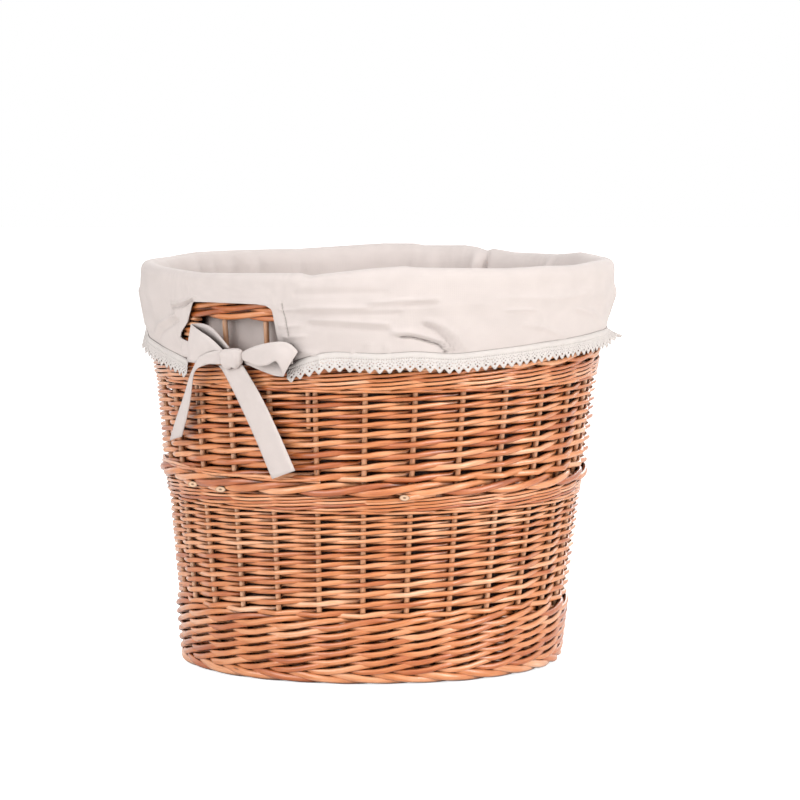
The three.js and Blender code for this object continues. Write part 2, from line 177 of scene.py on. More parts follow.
def addMesh(name, parts, materials, body, covers=(), thickness=0.0):
    points, faces, uvs, tones, shades, first = [], [], [], [], [], 0
    for part in parts:
        points.append(part["points"])
        faces.append((part["quads"] + first, part.get("kind", 0)))
        uvs.append(part["uv"])
        tones.append(part.get("tone", np.zeros(len(part["points"]))))
        shades.append(part.get("shade", np.ones(len(part["points"]))))
        first += len(part["points"])
    first = 0
    for part in parts:
        if "caps" in part:
            faces.append((part["caps"] + first, 1))
            uvs.append(np.zeros((part["caps"].size, 2)))
        first += len(part["points"])
    mesh = bpy.data.meshes.new(name)
    corners = np.concatenate([face.ravel() for face, _ in faces])
    sizes = np.concatenate([np.full(len(face), face.shape[1]) for face, _ in faces])
    kinds = np.concatenate([np.full(len(face), kind) for face, kind in faces])
    points = np.concatenate(points) * mm
    mesh.vertices.add(len(points))
    mesh.vertices.foreach_set("co", points.ravel())
    mesh.loops.add(len(corners))
    mesh.loops.foreach_set("vertex_index", corners.astype(np.int32))
    mesh.polygons.add(len(sizes))
    mesh.polygons.foreach_set("loop_start", (np.cumsum(sizes) - sizes).astype(np.int32))
    mesh.polygons.foreach_set("material_index", np.minimum(kinds, len(materials) - 1).astype(np.int32))
    mesh.polygons.foreach_set("use_smooth", kinds == 0)
    mesh.uv_layers.new(name="rodUv").data.foreach_set("uv", np.concatenate(uvs).astype(np.float32).ravel())
    for label, values in (("rodTone", tones), ("rodShade", shades)):
        attribute = mesh.attributes.new(label, "FLOAT", "POINT")
        attribute.data.foreach_set("value", np.concatenate(values).astype(np.float32))
    mesh.update(calc_edges=True)
    mesh.validate()
    for material in materials:
        mesh.materials.append(material)
    piece = bpy.data.objects.new(name, mesh)
    bpy.context.scene.collection.objects.link(piece)
    if thickness:
        solid = piece.modifiers.new("thickness", "SOLIDIFY")
        solid.thickness = thickness * mm
        solid.offset = -1
    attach(piece, body)
    if covers:
        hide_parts(*covers)
    return piece


# materials


def toLinear(hexColour):
    channels = [int(hexColour[i : i + 2], 16) / 255 for i in (1, 3, 5)]
    return tuple(c / 12.92 if c <= 0.04045 else ((c + 0.055) / 1.055) ** 2.4 for c in channels) + (1.0,)


def setSockets(node, values):
    for key, value in values.items():
        node.inputs[key].default_value = value


def addNode(tree, kind, values=None, links=None, **settings):
    made = tree.nodes.new(kind)
    for key, value in settings.items():
        setattr(made, key, value)
    setSockets(made, values or {})
    for key, source in (links or {}).items():
        tree.links.new(source, made.inputs[key])
    return made


def calc(tree, operation, first, second):
    made = tree.nodes.new("ShaderNodeMath")
    made.operation = operation
    for socket, value in zip(made.inputs, (first, second)):
        if isinstance(value, (int, float)):
            socket.default_value = value
        else:
            tree.links.new(value, socket)
    return made.outputs[0]


def remap(tree, source, low, high, toLow=0.0, toHigh=1.0, smooth=False):
    made = addNode(tree, "ShaderNodeMapRange",
                   {"From Min": low, "From Max": high, "To Min": toLow, "To Max": toHigh}, {"Value": source},
                   interpolation_type="SMOOTHSTEP" if smooth else "LINEAR")
    return made.outputs["Result"]


def mixColours(tree, factor, first, second):
    mix = addNode(tree, "ShaderNodeMix", data_type="RGBA")
    tree.links.new(factor, mix.inputs[0])
    for socket, colour in ((mix.inputs[6], first), (mix.inputs[7], second)):
        if isinstance(colour, str):
            socket.default_value = toLinear(colour)
        else:
            tree.links.new(colour, socket)
    return mix.outputs[2]


def openness(tree, reach, low, high):
    # 0 where something stands within the reach in metres, and 1 in the open; the materials paint shade with it
    nearby = addNode(tree, "ShaderNodeAmbientOcclusion", {"Distance": reach}, samples=6)
    return remap(tree, nearby.outputs["AO"], low, high, smooth=True)


def readAttribute(tree, name):
    return addNode(tree, "ShaderNodeAttribute", attribute_name=name).outputs["Fac"]


def ramp(tree, factor, stops):
    made = addNode(tree, "ShaderNodeValToRGB", links={"Fac": factor})
    elements = made.color_ramp.elements
    while len(elements) < len(stops):
        elements.new(0.5)
    for element, (position, colour) in zip(elements, stops):
        element.position = position
        element.color = toLinear(colour)
    return made.outputs["Color"]


def newMaterial(name):
    material = bpy.data.materials.new(name)
    material.use_nodes = True
    tree = material.node_tree
    return material, tree, tree.nodes["Principled BSDF"]


# the dark colour and reach of the painted shade, which also gives the rim and pith of the cut ends, the knots'
# colour and the coat
willowFinishAndPaintedShade = {"paintedShadeAndPith": "#3A140A", "paintedShadeReach": 0.006, "knot": "#4A2412", "coatRoughness": 0.24}


def willow(name, stops, roughness=0.40, coat=0.9):
    # grain and blotches run along the rod, with a knot here and there, and painted shade that darkens the crevices
    # between rods
    material, tree, shader = newMaterial(name)
    uv = addNode(tree, "ShaderNodeUVMap", uv_map="rodUv")
    tone = readAttribute(tree, "rodTone")
    split = addNode(tree, "ShaderNodeSeparateXYZ", links={"Vector": uv.outputs["UV"]})

    def place(perMetre, perTurn, shift):
        made = addNode(tree, "ShaderNodeCombineXYZ", links={
            "X": calc(tree, "MULTIPLY", split.outputs["X"], perMetre),
            "Y": calc(tree, "MULTIPLY", split.outputs["Y"], perTurn),
            "Z": calc(tree, "MULTIPLY", tone, shift)})
        return {"Vector": made.outputs["Vector"]}

    def pattern(detail, where):
        values = {"Scale": 1.0, "Detail": detail, "Roughness": 0.6}
        return addNode(tree, "ShaderNodeTexNoise", values, where).outputs["Fac"]

    grain = pattern(3.0, place(45.0, 16.0, 91.0))
    blotch = pattern(2.0, place(22.0, 2.0, 37.0))
    mixed = calc(tree, "ADD", calc(tree, "MULTIPLY", tone, 0.42), calc(tree, "MULTIPLY", grain, 0.36))
    mixed = calc(tree, "ADD", mixed, calc(tree, "MULTIPLY", blotch, 0.52))
    colour = ramp(tree, calc(tree, "SUBTRACT", mixed, 0.17), stops)
    spots = addNode(tree, "ShaderNodeTexVoronoi", {"Scale": 1.0}, place(14.0, 1.6, 53.0))
    knot = remap(tree, spots.outputs["Distance"], 0.03, 0.075, 0.65, 0.0)
    colour = mixColours(tree, knot, colour, willowFinishAndPaintedShade["knot"])
    # painted shade: the colour goes to dark brown where other rods stand close and where the shade attribute is
    # low; on the cut ends the shade attribute gives the dark rim and pith instead
    free = openness(tree, willowFinishAndPaintedShade["paintedShadeReach"], 0.18, 0.64)
    lit = calc(tree, "MULTIPLY", readAttribute(tree, "rodShade"), free)
    tree.links.new(mixColours(tree, lit, willowFinishAndPaintedShade["paintedShadeAndPith"], colour), shader.inputs["Base Color"])
    bump = addNode(tree, "ShaderNodeBump", {"Strength": 0.35, "Distance": 0.0004}, {"Height": grain})
    tree.links.new(bump.outputs["Normal"], shader.inputs["Normal"])
    setSockets(shader, {"Roughness": roughness, "Coat Weight": coat,
                        "Coat Roughness": willowFinishAndPaintedShade["coatRoughness"]})
    return material


# the dark colour and reach of the painted shade on cloth, and its roughness
clothFinishAndPaintedShade = {"paintedHollowShade": "#2C1209", "paintedHollowReach": 0.02, "roughness": 0.92}


def cloth(name, hexColour, threadsPerMm, bumpMm, sheen):
    # two crossed sets of threads, over a faint unevenness of tone
    material, tree, shader = newMaterial(name)
    uv = addNode(tree, "ShaderNodeUVMap", uv_map="rodUv").outputs["UV"]
    scale = threadsPerMm * 1000 / 20 * math.pi
    values = {"Scale": scale, "Distortion": 0.6, "Detail": 1.0, "Detail Scale": 2.0}
    waves = [addNode(tree, "ShaderNodeTexWave", values, {"Vector": uv}, bands_direction=direction)
             for direction in ("X", "Y")]
    threads = calc(tree, "MAXIMUM", *(wave.outputs["Fac"] for wave in waves))
    bump = addNode(tree, "ShaderNodeBump", {"Strength": 0.5, "Distance": bumpMm * mm}, {"Height": threads})
    tree.links.new(bump.outputs["Normal"], shader.inputs["Normal"])
    soft = addNode(tree, "ShaderNodeTexNoise", {"Scale": 60.0, "Detail": 3.0}, {"Vector": uv})
    tint = addNode(tree, "ShaderNodeVectorMath", {0: toLinear(hexColour)[:3]}, operation="SCALE")
    tree.links.new(remap(tree, soft.outputs["Fac"], 0.3, 0.7, 0.97, 1.03), tint.inputs["Scale"])
    # painted shade: cloth that lies close behind the weave, in deep folds or against other pieces is coloured dark
    # brown and loses sheen; a shade of 2 keeps the liner's corner light
    free = openness(tree, clothFinishAndPaintedShade["paintedHollowReach"], 0.3, 0.7)
    lit = calc(tree, "ADD", free, calc(tree, "SUBTRACT", readAttribute(tree, "rodShade"), 1.0))
    colour = mixColours(tree, lit, clothFinishAndPaintedShade["paintedHollowShade"], tint.outputs["Vector"])
    tree.links.new(colour, shader.inputs["Base Color"])
    tree.links.new(calc(tree, "MULTIPLY", free, sheen), shader.inputs["Sheen Weight"])
    setSockets(shader, {"Roughness": clothFinishAndPaintedShade["roughness"], "Sheen Roughness": 0.5,
                        "Specular IOR Level": 0.25})
    return material


buff = [(0.08, "#7E3A14"), (0.30, "#B8602A"), (0.50, "#DA8A52"), (0.70, "#EEB084"), (0.90, "#FADFC6")]
rodWillow = willow("buff willow weavers", buff)
stakeWillow = willow("buff willow stakes", [(0.15, "#B8733F"), (0.45, "#E2A274"), (0.8, "#F4CDAA")])
stickWillow = willow("buff willow base sticks", [(0.15, "#8A5428"), (0.5, "#B97C45"), (0.85, "#D5A06A")],
                     0.5, 0.1)
cutWillow = willow("cut willow ends", [(0.1, "#DDB593"), (0.5, "#EBCBAC"), (0.9, "#F3DEC8")], 0.7, 0.0)
canvas = cloth("cotton canvas", "#D3C9C5", 1.6, 0.12, 0.12)
laceCotton = cloth("cotton lace", "#D6CFCB", 1.2, 0.2, 0.1)
thread = cloth("cotton thread", "#E6DDD6", 2.5, 0.1, 0.1)

upward = np.array([0.0, 0.0, 1.0])


def addCotton(name, parts, covers=(), thickness=0.0, material=canvas):
    return addMesh(name, parts, [material], "liner", covers, thickness)


def addWillow(name, parts, cover, bark=rodWillow):
    addMesh(name, parts, [bark, cutWillow], "basket", [cover])


def tones(count, middle=0.5, spread=0.27):
    return np.clip(rng.normal(middle, spread, count), 0, 1)


# stakes and posts

print("stakes and posts")


def tangential(angle, shape):
    turn = np.radians(angle)
    direction = np.array([math.cos(turn), math.sin(turn), 0.0])
    return np.broadcast_to(direction, shape)


# the profile of a stake, as radius and z: the leg under the base, the bend, and the straight upright
legStart = wallRadius(wall["baseZ"]) - wall["legLength"]
bend = wall["bendRadius"]
turnZ = wall["baseZ"] + bend
turns = np.linspace(0, np.pi / 2, 9)[:, None]
bendMiddle = np.array([wallRadius(turnZ) - bend, turnZ])
bendPart = bendMiddle + bend * np.hstack([np.sin(turns), -np.cos(turns)])
upZ = np.linspace(turnZ + 3, topWaleTop, 70)
stakeProfile = np.concatenate([
    np.stack([np.linspace(legStart, bendMiddle[0] - 2, 5), np.full(5, wall["baseZ"])], axis=1),
    bendPart,
    np.stack([wallRadius(upZ), upZ], axis=1),
])
postZ = np.linspace(wall["holeBottom"] - 70, topWaleTop, 32)
postProfile = np.stack([wallRadius(postZ), postZ], axis=1)


def addUpright(name, profile, angle):
    # the profile turned to the angle, with a slight sway along the wall above the bend
    path = polar(profile[:, 0], angle, profile[:, 1])[None]
    sway = wobble(1, profile[None, :, 1] / 40, 0.35) * np.clip((profile[None, :, 1] - 40) / 60, 0, 1)
    across = tangential(angle, path.shape)
    path = path + across * sway[..., None]
    rod = rodArrays(path, wall["stakeRadius"], wall["stakeRadius"], across, tones(1, 0.5, 0.2), sides=12)
    # painted shade: the rods are darker where they cross the hand holes, under the cuff
    rod["shade"] = np.repeat(1 - 0.3 * smoothStep(296, 326, path[0, :, 2]), 12)
    addWillow(name + "_round", [rod], name, stakeWillow)


for index in range(wall["stakes"]):
    addUpright(f"stake_{index + 1:02d}", stakeProfile, spaceAngle(index))
# a post at each side of each hand hole, as its side and angle
posts = [(side, wall["holeCentre"] + half + side * wall["holePost"]) for half in (0, 180) for side in (-1, 1)]
for index, (_, postAngle) in enumerate(posts):
    addUpright(f"handle_post_{index + 1:02d}", postProfile, postAngle)

# base

print("base")

base = {"reach": 30.0, "pitch": 10.6, "end": 172.4, "thick": 4.9, "thin": 2.9, "firstRing": 43.0,
        "ringPitch": 4.3, "rings": 32, "rise": 5.3, "halfFlat": 1.15, "halfWide": 1.75, "arms": 14, "weaveOut": 0.9}


def stickPath(direction, offset, fan):
    # straight and parallel through the middle, then fanned out to the ends, with its corners averaged away
    along = math.radians(direction)
    across = np.array([math.cos(along), math.sin(along)]) * offset
    reach = np.array([math.sin(along), -math.cos(along)]) * base["reach"]
    corners = np.array([polar(base["end"], direction + fan, 0.0)[:2], reach + across, -reach + across,
                        polar(base["end"], direction + 180 - fan, 0.0)[:2]])
    corners[0, 0] += wall["lean"]
    corners[3, 0] += wall["lean"]
    lengths = np.concatenate([[0], np.cumsum(np.linalg.norm(np.diff(corners, axis=0), axis=1))])
    t = np.linspace(0, lengths[-1], 61)
    line = np.stack([np.interp(t, lengths, corners[:, axis]) for axis in (0, 1)], axis=1)
    for _ in range(4):
        line[1:-1] = (line[:-2] + line[1:-1] + line[2:]) / 3
    z = np.full(len(line), wall["baseZ"])
    x = line[:, 0] + wall["lean"] * (z / wall["crest"] - 1)
    return np.stack([x, line[:, 1], z], axis=1)[None]


fanStep = 2 * stakeStep
firstStick = spaceAngle(0.5) + 1.5 * fanStep
sticks = [("thick_base_stick", place, firstStick, base["thick"]) for place in (-1.5, -0.5, 0.5, 1.5)]
sticks += [("thin_base_stick", place, firstStick + 90, base["thin"]) for place in (-1, 0, 1)]
counts = {}
for stem, place, direction, radius in sticks:
    counts[stem] = counts.get(stem, 0) + 1
    path = stickPath(direction, place * base["pitch"], place * fanStep)
    rod = rodArrays(path, radius, radius, upward, tones(1, 0.5, 0.15), sides=12)
    name = f"{stem}_{counts[stem]:02d}"
    addWillow(name + "_round", [rod], name, stickWillow)

# two rods that wind outwards in a spiral and cross between the arms, one over each arm and one under it
ringIndex = np.arange(base["rings"])[:, None]
arms = np.linspace(0, base["arms"], base["arms"] * 8 + 1)[None, :]
ringParts = []
for side in (1, -1):
    wave = side * np.cos(np.pi * arms)
    radius = base["firstRing"] + base["ringPitch"] * (ringIndex + arms / base["arms"])
    radius = radius + side * base["weaveOut"] * np.sin(np.pi * arms)
    angle = spaceAngle(0.5) + fanStep * arms
    path = polar(radius, angle, wall["baseZ"] + base["rise"] * wave * np.ones_like(radius))
    ringParts.append(rodArrays(path, base["halfFlat"], base["halfWide"], upward, tones(len(path)), sides=6))
addWillow("base_pairing", ringParts, "base_weave")

# borders and wales

print("borders and wales")


def borderRods(name, depths, heights, size, cover):
    # one rod from each stake that rolls over the next ones: depth and z by stake spaces, rounded by averaging
    q = np.linspace(0, 3.7, 38)[None, :]
    rods = np.arange(wall["stakes"])[:, None]
    depth = np.interp(q, *zip(*depths)) + np.zeros_like(rods, float)
    z = np.interp(q, *zip(*heights)) + np.zeros_like(rods, float)
    for values in (depth, z):
        for _ in range(3):
            values[:, 1:-1] = (values[:, :-2] + values[:, 1:-1] + values[:, 2:]) / 3
    depth = depth + wobble(len(rods), q + 0 * rods, 0.35)
    path = polar(wallRadius(z) + depth, spaceAngle(rods + q), z)
    half = size / 2 * rng.uniform(0.93, 1.06, (len(rods), 1))
    addWillow(name, [rodArrays(path, half, half, upward, tones(len(rods)), sides=12)], cover)


borderRods("foot_border_rods",
           [(0, 0), (0.3, 3.2), (1, 6.3), (2, -0.5), (3, -6), (3.7, -8)],
           [(0, 13.6), (0.4, 11.2), (1, 6.4), (1.6, 4.6), (2.2, 5.0), (3, 10.0), (3.7, 13.4)], 8.2,
           "foot_border")
borderRods("top_border_rods",
           [(0, -1), (0.3, 2), (1, 5.6), (2, -0.5), (3, -5.5), (3.7, -5)],
           [(0, 380.5), (0.4, 385), (1, 389.5), (1.6, 390.8), (2.2, 390.4), (3.7, 384)], 7.4, "top_border")

# places within a stake space, closer together at the stakes, where the rods bend
stations = np.array([0.0, 0.06, 0.15, 0.26, 0.39, 0.52, 0.64, 0.74, 0.85, 0.94])


def placesBetween(first, last):
    places = (np.arange(math.floor(first), math.ceil(last))[:, None] + stations).ravel()
    return np.concatenate([[first], places[(places > first + 0.02) & (places < last - 0.02)], [last]])


# one rod of a three-rod wale over three stake spaces: behind the stake at 0, in front of those at 1 and 2;
# depth and height are for a rod 5 mm deep and 6.2 mm tall
waleSpaces = np.array([0.0, 0.25, 0.5, 0.75, 1.0, 1.25, 1.5, 1.75, 2.0, 2.25, 2.5, 2.75, 3.0])
waleDepth = np.array([-5.4, -3.2, -0.2, 3.2, 5.8, 6.9, 7.4, 7.2, 6.4, 4.0, 0.8, -3.0, -5.4])
waleHeight = np.array([3.4, 2.2, 0.2, -2.6, -3.8, -3.5, -2.0, 0.4, 2.5, 3.9, 4.3, 4.1, 3.4])


def waleRow(z, tall, deep, startSpace, outward=0.0, spread=1.0, tonesAbout=0.5, lift=None):
    # three rods of a closed row: each passes in front of two stakes and behind the next one, where it also ends
    rods = []
    for first, last in ((0, 27), (27, 54), (54, 84)):
        spaces = placesBetween(first, last)[None, :]
        place = spaces % 3
        drift = wobble(1, spaces, 0.25)
        depth = np.interp(place, waleSpaces, waleDepth) * (0.35 + 0.65 * deep / 5) + outward
        depth = depth + wobble(1, spaces, 0.2)
        height = z + np.interp(place, waleSpaces, waleHeight) * tall / 6.2 * spread + drift
        angle = spaceAngle(spaces + startSpace)
        if lift is not None:
            height = height + lift(angle)
        path = polar(wallRadius(height) + depth, angle, height)
        size = 1 + wobble(1, spaces, 0.05, 0.1, 0.4)
        rods.append(rodArrays(path, tall / 2 * size, deep / 2 * size, upward, tones(1, tonesAbout),
                              crossing=np.clip(depth / 4.0, -1, 1)))
    return rods


upsett = {"rows": 6, "tall": 6.1, "deep": 5.0, "bottomGap": 3.6, "topGap": 4.8}
rowZ = np.linspace(footTop + upsett["bottomGap"], upsettTop - upsett["topGap"], upsett["rows"])
addWillow("upsett_wale_rods",
          [rod for row, z in enumerate(rowZ) for rod in waleRow(z, upsett["tall"], upsett["deep"], 14 + 5 * row)],
          "upsett_wale")

topWale = {"rows": 3, "tall": 5.6, "deep": 4.0, "bottomGap": 4.5, "topGap": 4.0}
rowZ = np.linspace(upperTop + topWale["bottomGap"], topWaleTop - topWale["topGap"], topWale["rows"])
# the top wale's rods take darker tones, a painted shade under the cuff
addWillow("top_wale_rods",
          [rod for row, z in enumerate(rowZ)
           for rod in waleRow(z, topWale["tall"], topWale["deep"], 14 + 3 * row, -0.8, 0.9, 0.25)], "top_wale")

# butt ends that stand out of the middle wale, as angle, height and side
butts = [(-55.9, 188.4, -1), (-44.0, 187.0, -1), (8.1, 185.1, 1), (-172.0, 187.0, 1), (118.0, 186.0, 1),
         (150.0, 186.5, 1)]


middleRadius = 210.0
# rings from the slanting cut to the rod that runs on behind its neighbours, to the right for side 1:
# across the wall, out, up, and the half sizes across, out and up
buttRings = np.array([
    (0.0, 10.6, 0.0, 4.7, 2.4, 2.9), (1.2, 10.4, 0.0, 4.2, 2.7, 3.0), (4.0, 9.6, 0.2, 2.4, 3.0, 3.1),
    (9.0, 8.2, 0.7, 0.6, 3.1, 3.1), (18.0, 6.6, 1.4, 0.0, 3.0, 3.0), (32.0, 2.5, 2.4, 0.0, 3.0, 3.0)])
# the cut face from its edge inwards, with a dark rim and a pith dot: share of the radius, and shade
cutFace = np.array([(1.0, 0.5), (0.86, 0.62), (0.8, 1.0), (0.34, 1.0), (0.26, 0.3), (0.02, 0.25)])


def buttRod(angle, z, side):
    turn = 2 * np.pi * np.arange(16)[None, :] / 16
    across, out, up, halfAcross, halfOut, halfUp = (buttRings[:, k : k + 1] for k in range(6))
    x = across + halfAcross * np.cos(turn)
    height = z + up + halfUp * np.sin(turn)
    radius = wallRadius(height) + out + halfOut * np.cos(turn)
    points = polar(radius, angle + side * np.degrees(x / middleRadius), height)
    uv = pairUp(across * mm, np.linspace(0, 1, 17)[None, :])
    rod = gridArrays(points, uv, closed=True, flip=side < 0)
    rod["tone"] = np.full(points.shape[0] * points.shape[1], 0.6)
    share = cutFace[:, :1]
    face = points[0].mean(axis=0) + (points[0] - points[0].mean(axis=0))[None] * share[..., None]
    faceUv = pairUp(share * 0.01, np.linspace(0, 1, 17)[None, :])
    cut = gridArrays(face, faceUv, closed=True, flip=side > 0)
    cut["shade"] = np.repeat(cutFace[:, 1], 16)
    cut["kind"] = 1
    return [rod, cut]


# towards the left the thick row climbs, and the thin rows under it spread apart, with a thin pair above
def leftLift(angle):
    turned = (angle + 180) % 360 - 180
    return 4.6 * smoothStep(28, 76, -turned) * (1 - smoothStep(110, 150, -turned))


middleWale = {"thinLevels": (1.7, 5.1, 8.1, 11.2), "thinTall": 3.0, "thinDeep": 2.6, "thickTall": 7.1,
              "thickDeep": 5.6, "thickDrop": 6.3, "pairOut": 6.4}
middle = []
for row, level in enumerate(middleWale["thinLevels"]):
    middle += waleRow(lowerTop + level, middleWale["thinTall"], middleWale["thinDeep"], 10 + 3 * row, 0.0, 0.8,
                      lift=lambda angle, share=(row + 1) / 5: share * leftLift(angle))
middle += waleRow(middleTop - middleWale["thickDrop"], middleWale["thickTall"], middleWale["thickDeep"], 15,
                  0.6, 0.78, lift=leftLift)
# the thin pair above it at the left: its height by angle, and two rods wound round each other
turned = np.linspace(-96, -14, 110)
pairLine = [(-96, 203.0), (-78.7, 204.4), (-41.8, 202.2), (-29.8, 201.2), (-14, 200.2)]
pairZ = np.interp(turned, *zip(*pairLine)) + middleTop - 198.5
pairPhase = np.radians((turned + 96) * 9.5)
for side in (0, np.pi):
    height = pairZ + 1.5 * np.sin(pairPhase + side)
    pairRadius = wallRadius(height) + middleWale["pairOut"] + 1.0 * np.cos(pairPhase + side)
    middle.append(rodArrays(polar(pairRadius, turned, height)[None], 1.45, 1.35, upward, tones(1, 0.7, 0.1)))
middle += [part for butt in butts for part in buttRod(*butt)]
addWillow("middle_wale_rods", middle, "middle_wale")

# French randing: one rod from each stake, each in front of one stake and behind the next, climbing to the right

print("randing")


# one rod over two stake spaces: in front of the stake at 0 and behind the one at 1, where most of its climb is
# hidden; heights and half heights are shares of the pitch
randSpaces = np.array([0.0, 0.26, 0.52, 0.74, 0.86, 0.94, 1.06, 1.16, 1.33, 1.52, 1.74, 2.0])
randHeight = np.array([0.0, 0.14, 0.23, 0.265, 0.31, 0.42, 0.70, 0.79, 0.81, 0.865, 0.93, 1.0])
randTall = np.array([0.24, 0.275, 0.27, 0.25, 0.21, 0.19, 0.19, 0.22, 0.26, 0.275, 0.26, 0.24])


def randing(low, high, rounds, firstPitch, deepBase, deepRate):
    # a rod from each stake; it climbs by the pitch in each round, and the pitch eases so that it ends at high
    rods = np.arange(wall["stakes"])[:, None]
    spaces = placesBetween(-0.9, 2 * rounds + 0.9)[None, :]
    along = spaces + 0.0 * rods
    place = along % 2
    progress = np.clip(np.floor(along / 2) + np.interp(place, randSpaces, randHeight), 0, rounds)
    ease = 2 * (firstPitch * rounds - (high - low)) / rounds**2
    z = low + firstPitch * progress - ease * progress**2 / 2 + wobble(len(rods), along, 0.3)
    pitch = firstPitch - ease * progress
    # a triangle wave with its corners rounded over the width of a stake
    away = np.minimum(place, 2 - place)
    wave = (np.hypot(1 - away, 0.06) - np.hypot(away, 0.06)) / (np.hypot(1, 0.06) - 0.06)
    size = rng.uniform(0.93, 1.06, rods.shape) + wobble(len(rods), along, 0.03, 0.05, 0.2)
    tall = pitch * np.interp(place, randSpaces, randTall) * size
    deep = (deepBase + deepRate * pitch) * size
    depth = (wall["stakeRadius"] + deep - 0.1) * wave + wobble(len(rods), along, 0.2)
    path = polar(wallRadius(z) + depth, spaceAngle(rods + along), z)
    return path, tall, deep, wave


holeWale = {"low": 292.2, "thinRows": 4, "thinPitch": 4.1, "thick": 312.8}


def outsideHole(angle, z):
    away = np.abs((angle - wall["holeCentre"] + 90) % 180 - 90)
    return (away > wall["holePost"] - 0.4) | (z < wall["holeBottom"])


path, tall, deep, wave = randing(upsettTop + 3.9, lowerTop - 2.3, 12, 10.7, 1.0, 0.10)
addWillow("lower_randing_rods", [rodArrays(path, tall, deep, upward, tones(len(path)), crossing=wave)],
          "lower_weave")

path, tall, deep, wave = randing(middleTop + 3.8, holeWale["low"] - 4.0, 9, 12.0, 1.2, 0.14)
upperParts = [rodArrays(path, tall, deep, upward, tones(len(path)), crossing=wave)]
# a wale of thin rods and one row of thick ones closes the weave under the hand holes
for row in range(holeWale["thinRows"]):
    upperParts += waleRow(holeWale["low"] + holeWale["thinPitch"] * row, 3.4, 2.8, 10 + 3 * row, 0.6, 0.9, 0.45)
upperParts += waleRow(holeWale["thick"], 5.6, 3.8, 20, -1.4, 1.1)
# between the hand holes the weave goes on up to the top wale
path, tall, deep, wave = randing(wall["holeBottom"] + 3.0, upperTop - 3.0, 4, 8.4, 1.0, 0.10)
turned = np.degrees(np.arctan2(path[..., 0] - wall["lean"] * (path[..., 2] / wall["crest"] - 1), -path[..., 1]))
kept = outsideHole(turned, path[..., 2])
rodTones = tones(len(path))
for rod in range(len(path)):
    edges = np.flatnonzero(np.diff(np.concatenate([[0], kept[rod].astype(int), [0]])))
    for first, last in edges.reshape(-1, 2):
        if last - first > 3:
            piece = slice(first, last)
            upperParts.append(rodArrays(path[None, rod, piece], tall[None, rod, piece], deep[None, rod, piece],
                                        upward, rodTones[rod : rod + 1], crossing=wave[rod : rod + 1, piece]))
# the rods turn back round the posts
backTurn = np.linspace(-np.pi / 2, np.pi / 2, 9)
turnBack = {"reach": 5.1, "around": 5.0, "radius": 221.0, "rods": 6, "halfTall": 2.1, "halfDeep": 1.8}
arcX = np.concatenate([[-14, -8], turnBack["around"] * np.cos(backTurn), [-8, -14]])
arcDepth = turnBack["reach"] * np.concatenate([[-1, -1], np.sin(backTurn), [1, 1]])
for side, postAngle in posts:
    for z in np.linspace(wall["holeBottom"] + 3.5, upperTop - 3, turnBack["rods"]):
        height = z + np.linspace(-1.3, 1.3, len(arcX))
        angle = postAngle - side * np.degrees(arcX / turnBack["radius"])
        turnPath = polar(wallRadius(height) + arcDepth, angle, height)[None]
        upperParts.append(rodArrays(turnPath, turnBack["halfTall"], turnBack["halfDeep"], upward, tones(1)))
addWillow("upper_randing_rods", upperParts, "upper_weave")

# liner

print("liner")

liner = {
    "thickness": 1.2,
    "rimFoot": 388.0,
    "floorZ": 28.6,
    "cuffRows": 46,
    "rimRows": 16,
    "wallRows": 46,
    "arcPerDegree": 4.1,
    "footRadius": 175.2,
    "topRadius": 214.6,
    "topZ": 379,
    "rimLength": 1.46,
    "rumple": 0.7,
}
cuffZ = [290, 308, 326, 341, 351, 361, 371, 393]
cuffR = [226.4, 227.3, 229.2, 231.9, 233.3, 234.8, 236.9, 237.1]

# the height of the cloth's crest round the rim, as angle and z
crestLine = [
    (-168, 403.4), (-158, 401.5), (-139, 402.2), (-124, 402.5), (-111.6, 400.2), (-92, 401.4), (-75, 400.5),
    (-58.5, 399.2), (-48.4, 397.6), (-32, 399.7), (-18.6, 401.0), (-15.9, 398.6), (-13.2, 400.4), (-7, 403.4),
    (-1.6, 405.9), (4.3, 407.6), (6.5, 408.2), (9.1, 407.0), (13.2, 406.4), (23, 405.3), (32.6, 404.1),
    (43.2, 404.8), (57.1, 403.4), (68.9, 404.9), (86, 403.5), (103.3, 402.8), (115.3, 404.1), (121, 401.8),
    (126, 400.1), (133, 399.7), (142, 399.6), (145.2, 401.2), (148.3, 402.6), (150.2, 400.3), (153.3, 404.0),
    (156.8, 405.4), (163, 404.9), (167.8, 404.7), (170.5, 406.5), (179, 406.4),
]

